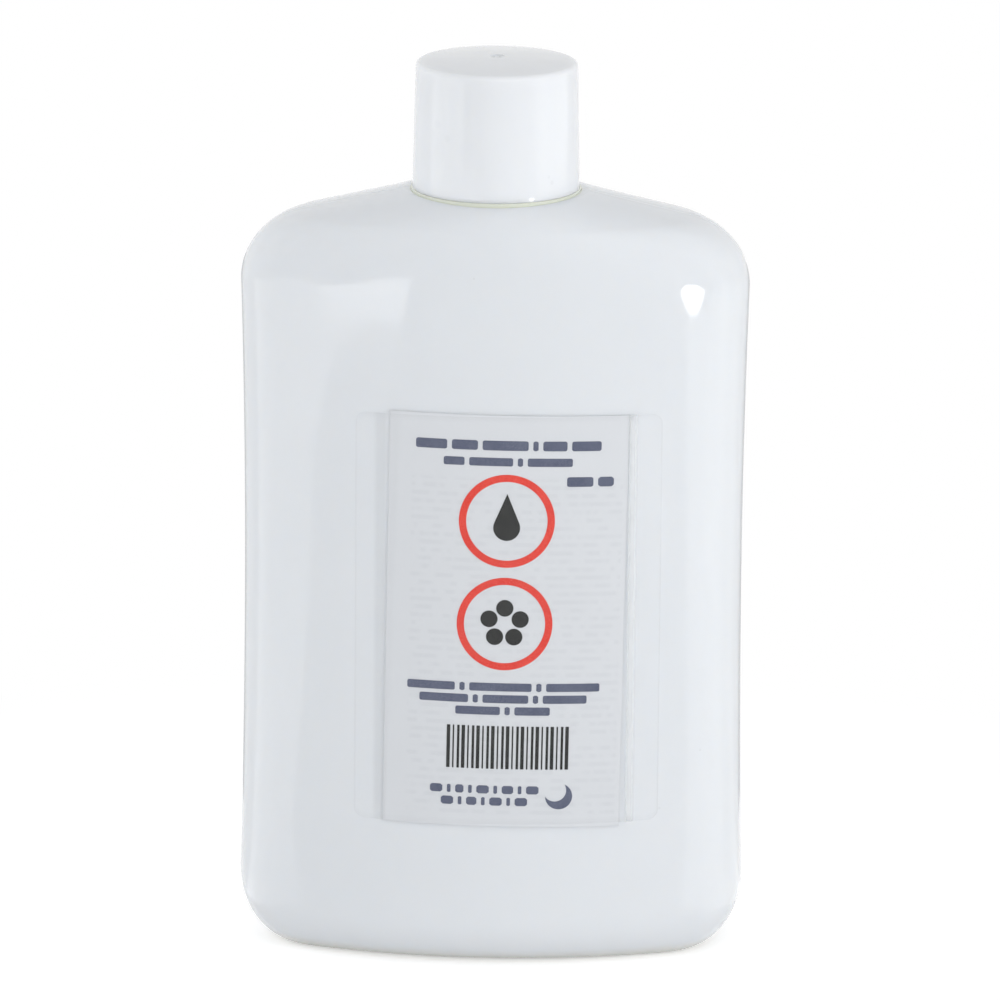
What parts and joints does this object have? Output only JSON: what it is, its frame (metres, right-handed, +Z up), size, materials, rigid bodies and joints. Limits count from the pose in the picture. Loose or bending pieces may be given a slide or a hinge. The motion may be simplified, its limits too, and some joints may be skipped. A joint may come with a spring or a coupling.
{
  "type": "laundry perfume bottle",
  "caption": "Flat oval blow-moulded bottle with a tall plain screw cap on a threaded neck, a foam liner, and a folded leaflet label under clear film.",
  "frame": {"origin": "under the middle of the base, on the surface that the bottle stands on", "axes": "+Z up along the neck's axis, +X along the body's width, the leaflet label on the side towards -Y"},
  "size_m": [0.098, 0.0415, 0.1764],
  "materials": {
    "white_bottle": "glossy blow-moulded white polyethylene",
    "white_cap": "glossy injection-moulded white polypropylene",
    "foam": "soft foamed polyethylene",
    "label_paper": "thin uncoated paper",
    "clear_film": "clear glossy film",
    "slate_ink": "flat slate ink",
    "red_ink": "flat red ink",
    "black_ink": "flat black ink"
  },
  "bodies": {
    "bottle_body": {"bottle": "white_bottle", "leaflet": "label_paper", "cover_film": "clear_film", "slate_print": "slate_ink", "red_print": "red_ink", "black_print": "black_ink"},
    "liner_body": {"cap_liner": "foam"},
    "cap_body": {"cap": "white_cap"}
  },
  "joints": [
    {"name": "cap_lift", "type": "slide", "parent": "bottle_body", "child": "liner_body", "axis": [0, 0, 1], "range_m": [0, 0.02525]},
    {"name": "cap_turn", "type": "hinge", "parent": "liner_body", "child": "cap_body", "pos_m": [0, 0, 0.151], "axis": [0, 0, 1], "range_deg": [0, 2160]}
  ],
  "couplings": [
    {"joint": "cap_lift", "follows": "cap_turn", "m_per_rad": 0.00066845}
  ]
}
